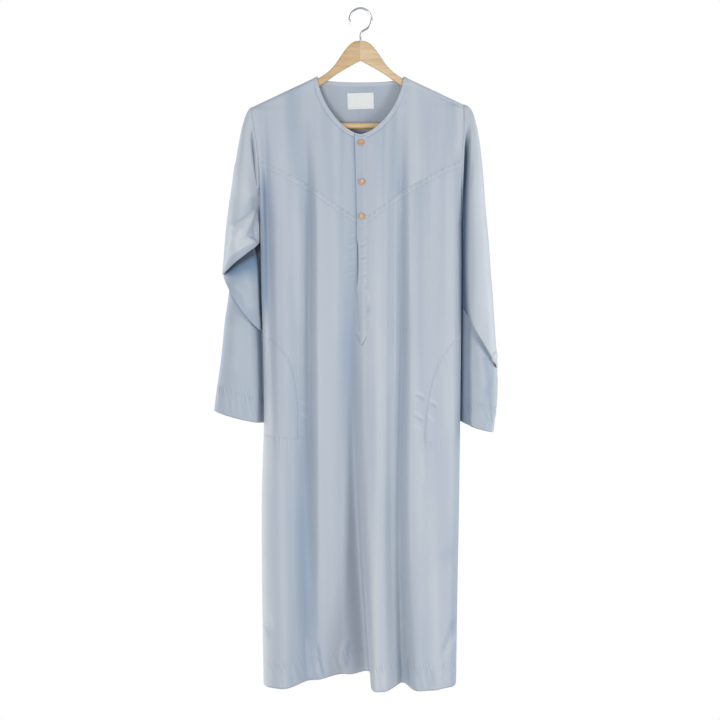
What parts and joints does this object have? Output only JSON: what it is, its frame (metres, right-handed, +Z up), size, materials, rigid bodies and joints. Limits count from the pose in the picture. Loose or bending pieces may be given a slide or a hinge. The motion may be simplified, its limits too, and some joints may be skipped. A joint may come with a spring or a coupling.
{
  "type": "thobe robe on a clothes hanger",
  "caption": "Long collarless robe with long sleeves, button placket, V-shaped yoke seam and deep hem folds, hung flat on a plain wooden hanger.",
  "frame": {"origin": "top of the inside of the hanger's hook, where it rests on a rail", "axes": "+Z up, +X to the viewer's right and the wearer's left, the robe's front faces -Y"},
  "size_m": [0.5917, 0.177, 1.406],
  "materials": {
    "robe_cloth": "fine satin-faced cotton, pale grey blue",
    "label_cloth": "woven label, off white, bare",
    "button_wood": "brown wood, satin",
    "hanger_wood": "light wood, clear satin varnish",
    "hanger_wood_light": "lighter wood, clear satin varnish",
    "hook_steel": "plated steel wire"
  },
  "bodies": {
    "root": {"back": "robe_cloth", "front": "robe_cloth", "yoke_right": "robe_cloth", "yoke_left": "robe_cloth", "placket": "robe_cloth", "placket_under": "robe_cloth", "neck_binding": "robe_cloth", "sleeve_right": "robe_cloth", "sleeve_left": "robe_cloth", "pocket_right": "robe_cloth", "pocket_left": "robe_cloth", "neck_label": "label_cloth", "button_1": "button_wood", "button_2": "button_wood", "button_3": "button_wood", "hanger_arm_right": "hanger_wood", "hanger_arm_left": "hanger_wood_light", "hanger_bar": "hanger_wood", "hanger_hook": "hook_steel"}
  },
  "joints": []
}
